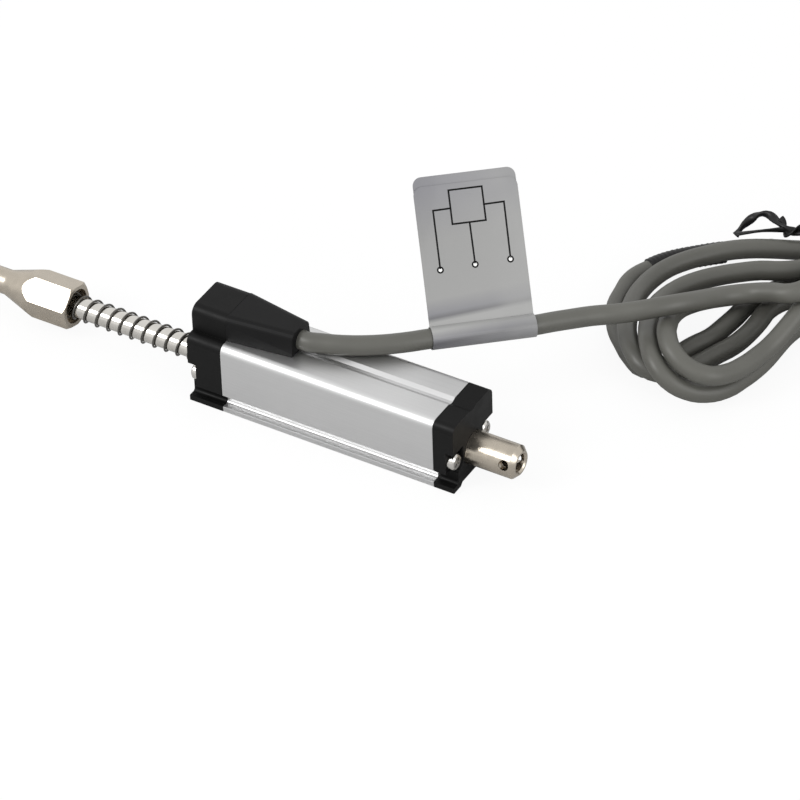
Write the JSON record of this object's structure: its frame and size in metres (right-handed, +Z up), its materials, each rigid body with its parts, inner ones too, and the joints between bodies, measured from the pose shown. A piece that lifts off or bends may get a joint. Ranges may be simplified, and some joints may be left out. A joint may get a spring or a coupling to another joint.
{
  "type": "linear displacement sensor",
  "caption": "Spring-return linear displacement sensor: extruded body with end caps, through rod with hex coupling, return spring, tapped rear end and a coiled flying lead.",
  "frame": {"origin": "under the middle of the sensor without its cable, on the surface that it stands on", "axes": "+X along the rod towards its tapped rear end, +Y across the body, +Z up"},
  "size_m": [0.2402, 0.1903, 0.0494],
  "materials": {
    "anodised_aluminium": "satin anodised, fine lines along the extrusion",
    "black_plastic": "fine moulded texture",
    "boot_rubber": "smooth semi-matte",
    "black_rubber": "matte",
    "sintered_bronze": "porous, satin",
    "felt": "dense felt",
    "screw_steel": "nickel plated",
    "board_laminate": "glass laminate",
    "carbon_track": "conductive plastic film",
    "gold_plate": "plated, bright",
    "brown_insulation": "smooth",
    "black_insulation": "smooth",
    "blue_insulation": "smooth",
    "white_plastic": "moulded",
    "polished_steel": "ground and polished",
    "spring_steel": "drawn wire",
    "nickel_plate": "warm nickel plating over turned steel",
    "cable_jacket": "smooth grey sheath",
    "shrink_sleeve": "heat shrunk",
    "label_film": "silver film",
    "tie_plastic": "plastic coated wire"
  },
  "bodies": {
    "root": {"housing_profile": "anodised_aluminium", "front_cap": "black_plastic", "rear_cap": "black_plastic", "cable_boot": "boot_rubber", "front_bushing": "sintered_bronze", "rear_bushing": "sintered_bronze", "rod_wiper": "felt", "front_buffer": "black_rubber", "front_screw_near": "screw_steel", "front_screw_far": "screw_steel", "rear_screw_near": "screw_steel", "rear_screw_far": "screw_steel", "track_board": "board_laminate", "resistive_track": "carbon_track", "collector_track": "gold_plate", "wire_brown": "brown_insulation", "wire_black": "black_insulation", "wire_blue": "blue_insulation", "return_spring": "spring_steel", "cable": "cable_jacket", "cable_coil": "cable_jacket", "cable_tail": "cable_jacket", "end_sleeve": "shrink_sleeve", "core_brown": "brown_insulation", "core_black": "black_insulation", "core_blue": "blue_insulation", "cable_label": "label_film", "cable_tie": "tie_plastic"},
    "carriage": {"wiper_carriage": "white_plastic", "wiper_finger_near": "gold_plate", "wiper_finger_far": "gold_plate"},
    "rod": {"push_rod": "polished_steel", "rod_clip": "spring_steel", "rod_end_sleeve": "nickel_plate", "hex_coupling": "nickel_plate", "contact_ball": "polished_steel"}
  },
  "joints": [
    {"name": "rod_slide", "type": "slide", "parent": "root", "child": "carriage", "axis": [1, 0, 0], "range_m": [0, 0.025], "stiffness_N_per_m": 120, "springref_m": -0.012, "deforming": ["return_spring"]},
    {"name": "rod_turn", "type": "hinge", "parent": "carriage", "child": "rod", "pos_m": [0, 0, 0.0073], "axis": [1, 0, 0], "continuous": true}
  ]
}
